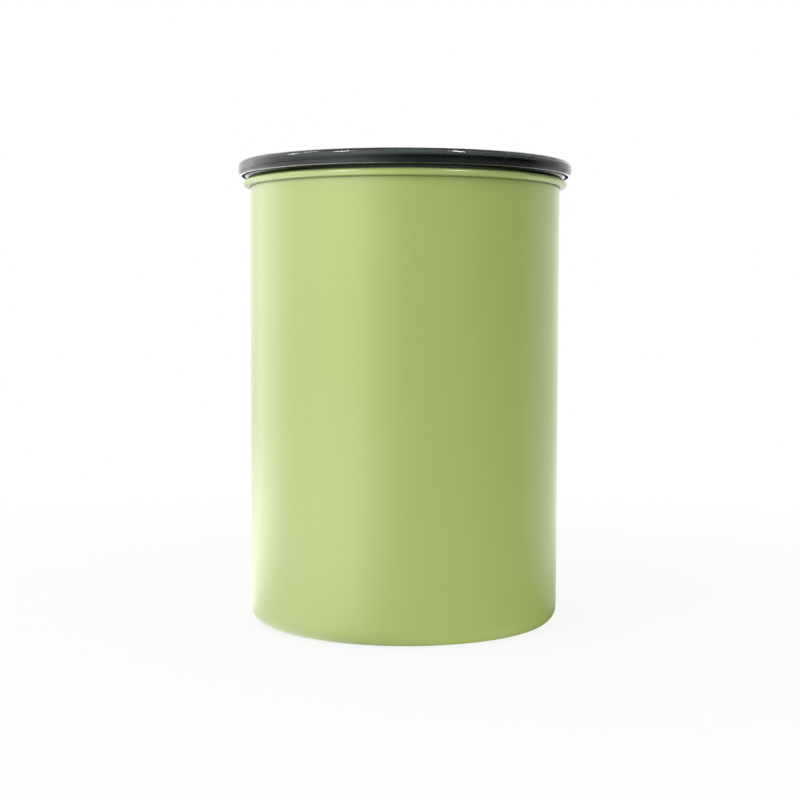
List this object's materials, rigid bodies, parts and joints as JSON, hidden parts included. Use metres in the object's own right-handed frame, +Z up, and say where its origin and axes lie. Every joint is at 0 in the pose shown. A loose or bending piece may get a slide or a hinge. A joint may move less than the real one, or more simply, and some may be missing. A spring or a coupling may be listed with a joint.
{
  "type": "coffee canister",
  "caption": "Straight-sided painted steel coffee canister with a smoke-clear lid and a sliding inner lid whose folding handle opens an air valve.",
  "frame": {"origin": "middle of the foot ring, on the plane the canister stands on", "axes": "+Z up along the axis of the can, -Y towards the front seen in the picture, +X to the right in the picture"},
  "size_m": [0.13, 0.13, 0.1778],
  "materials": {
    "can_paint": "satin green paint",
    "smoke_plastic": "clear smoke tint",
    "clear_silicone": "soft, translucent",
    "inner_lid_plastic": "fine texture",
    "grey_silicone": "soft",
    "valve_plastic": "satin",
    "spring_steel": "drawn wire",
    "bright_steel": "turned",
    "handle_plastic": "satin"
  },
  "bodies": {
    "canister": {"canister_shell": "can_paint"},
    "lid": {"outer_lid": "smoke_plastic", "lid_seal": "clear_silicone"},
    "plunger": {"plunger_plate": "inner_lid_plastic", "wiper_gasket": "grey_silicone", "valve_spring": "spring_steel", "handle_pin_right": "bright_steel", "handle_pin_left": "bright_steel"},
    "handle": {"pull_handle": "handle_plastic"},
    "valve": {"valve_stem": "valve_plastic", "valve_seal": "grey_silicone", "seal_washer": "bright_steel", "stem_screw": "bright_steel"}
  },
  "joints": [
    {"name": "lid_lift", "type": "slide", "parent": "canister", "child": "lid", "axis": [0, 0, 1], "range_m": [0, 0.07]},
    {"name": "plunger_slide", "type": "slide", "parent": "canister", "child": "plunger", "axis": [0, 0, 1], "range_m": [-0.106, 0]},
    {"name": "handle_fold", "type": "hinge", "parent": "plunger", "child": "handle", "pos_m": [0, 0, 0.1296], "axis": [1, 0, 0], "range_deg": [0, 104]},
    {"name": "valve_press", "type": "slide", "parent": "plunger", "child": "valve", "axis": [0, 0, -1], "range_m": [0, 0.0025], "stiffness_N_per_m": 440, "springref_m": -0.0025, "deforming": ["valve_spring"]}
  ],
  "couplings": [
    {"joint": "handle_fold", "follows": "valve_press", "rad_per_m": 726}
  ]
}
